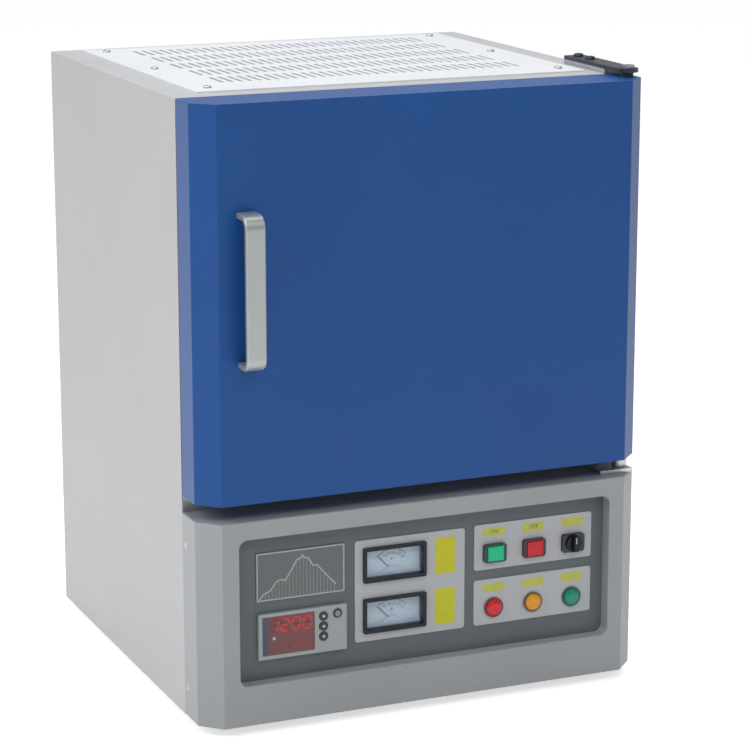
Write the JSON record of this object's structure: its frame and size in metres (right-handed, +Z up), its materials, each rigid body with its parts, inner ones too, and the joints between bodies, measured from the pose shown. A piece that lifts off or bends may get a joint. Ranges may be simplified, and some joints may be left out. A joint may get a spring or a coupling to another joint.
{
  "type": "muffle furnace",
  "caption": "Bench-top box furnace with a side-hung insulated door and plug, a ceramic-fibre chamber and a recessed instrument panel in the base.",
  "frame": {"origin": "bottom centre of the whole bounding box, on the plane that the feet stand on", "axes": "+Z up, the door and instrument panel face -Y, +X is the hinge side, to the right of someone facing the door"},
  "size_m": [0.49, 0.524, 0.652],
  "materials": {
    "housing_paint": "light grey powder coat",
    "cover_paint": "off-white powder coat",
    "fascia_paint": "mid grey powder coat",
    "door_paint": "deep blue powder coat",
    "panel_paint": "dark grey powder coat",
    "plate_paint": "light grey enamel",
    "stainless": "brushed stainless steel",
    "galvanised": "galvanised sheet",
    "plain_steel": "turned steel",
    "dark_steel": "blackened steel strap",
    "pale_steel": "zinc-plated steel",
    "dark_bush": "graphite-filled bush",
    "fibre_board": "vacuum-formed ceramic fibre",
    "hearth_ceramic": "fired refractory",
    "ceramic_wool": "ceramic wool blanket",
    "rope_seal": "woven ceramic rope",
    "coil_wire": "oxidised resistance wire",
    "steatite": "glazed steatite",
    "magnet": "ferrite block in steel",
    "rubber_black": "black rubber",
    "controller_grey": "satin grey plastic",
    "display_glass": "dark tinted window",
    "black_plastic": "black plastic",
    "dial_white": "printed white dial",
    "clear_glass": "clear window",
    "lamp_plastic": "translucent coloured lens",
    "device_plastic": "moulded device case",
    "heat_sink_aluminium": "extruded aluminium",
    "handle_aluminium": "satin anodised",
    "green_plastic": "green cap",
    "red_plastic": "red cap",
    "key_plastic": "soft dark key",
    "pointer_black": "black needle"
  },
  "bodies": {
    "furnace": {"housing_shell": "housing_paint", "front_frame": "stainless", "vent_cover": "cover_paint", "housing_back": "housing_paint", "inner_casing": "galvanised", "backup_insulation": "ceramic_wool", "mouth_ring": "fibre_board", "floor_board": "fibre_board", "roof_board": "fibre_board", "side_boards": "fibre_board", "back_board": "fibre_board", "hearth_plate": "hearth_ceramic", "heating_elements": "coil_wire", "element_terminals": "steatite", "thermocouple": "steatite", "catch_magnet": "magnet", "base_fascia": "fascia_paint", "base_sides": "housing_paint", "base_plates": "galvanised", "base_back": "housing_paint", "feet": "rubber_black", "control_panel": "panel_paint", "panel_plates": "plate_paint", "controller_case": "controller_grey", "controller_window": "display_glass", "meter_cases": "black_plastic", "meter_dials": "dial_white", "meter_glasses": "clear_glass", "switch_frames": "black_plastic", "lamp_bezels": "black_plastic", "lamp_lenses": "lamp_plastic", "contactor": "device_plastic", "power_controller": "heat_sink_aluminium", "terminal_block": "device_plastic", "cable_gland": "black_plastic", "hinge_strap": "dark_steel", "hinge_brackets": "pale_steel", "hinge_pins": "plain_steel"},
    "door": {"door_skin": "door_paint", "door_pan": "stainless", "door_insulation": "ceramic_wool", "door_plug": "fibre_board", "door_seal": "rope_seal", "hinge_blocks": "plain_steel", "door_bushes": "dark_bush", "door_handle": "handle_aluminium"},
    "start_button": {"start_button": "green_plastic"},
    "stop_button": {"stop_button": "red_plastic"},
    "selector_knob": {"selector_knob": "black_plastic"},
    "controller_key_1": {"controller_key_1": "key_plastic"},
    "controller_key_2": {"controller_key_2": "key_plastic"},
    "controller_key_3": {"controller_key_3": "key_plastic"},
    "controller_key_4": {"controller_key_4": "key_plastic"},
    "voltmeter_pointer": {"voltmeter_pointer": "pointer_black"},
    "ammeter_pointer": {"ammeter_pointer": "pointer_black"}
  },
  "joints": [
    {"name": "door_hinge", "type": "hinge", "parent": "furnace", "child": "door", "pos_m": [0.234, -0.205, 0.441], "axis": [0, 0, 1], "range_deg": [0, 115]},
    {"name": "start_push", "type": "slide", "parent": "furnace", "child": "start_button", "axis": [0, 1, 0], "range_m": [0, 0.002], "stiffness_N_per_m": 600},
    {"name": "stop_push", "type": "slide", "parent": "furnace", "child": "stop_button", "axis": [0, 1, 0], "range_m": [0, 0.002], "stiffness_N_per_m": 600},
    {"name": "selector_turn", "type": "hinge", "parent": "furnace", "child": "selector_knob", "pos_m": [0.1709, -0.2257, 0.1551], "axis": [0, 1, 0], "range_deg": [0, 90]},
    {"name": "key_1_push", "type": "slide", "parent": "furnace", "child": "controller_key_1", "axis": [0, 1, 0], "range_m": [0, 0.0006], "stiffness_N_per_m": 1500},
    {"name": "key_2_push", "type": "slide", "parent": "furnace", "child": "controller_key_2", "axis": [0, 1, 0], "range_m": [0, 0.0006], "stiffness_N_per_m": 1500},
    {"name": "key_3_push", "type": "slide", "parent": "furnace", "child": "controller_key_3", "axis": [0, 1, 0], "range_m": [0, 0.0006], "stiffness_N_per_m": 1500},
    {"name": "key_4_push", "type": "slide", "parent": "furnace", "child": "controller_key_4", "axis": [0, 1, 0], "range_m": [0, 0.0006], "stiffness_N_per_m": 1500},
    {"name": "voltmeter_needle", "type": "hinge", "parent": "furnace", "child": "voltmeter_pointer", "pos_m": [-0.0327, -0.21465, 0.1488], "axis": [0, 1, 0], "range_deg": [0, 90], "stiffness_Nm_per_rad": 0.00002, "springref_deg": -17.19},
    {"name": "ammeter_needle", "type": "hinge", "parent": "furnace", "child": "ammeter_pointer", "pos_m": [-0.0327, -0.21465, 0.0946], "axis": [0, 1, 0], "range_deg": [0, 90], "stiffness_Nm_per_rad": 0.00002, "springref_deg": -17.19}
  ]
}
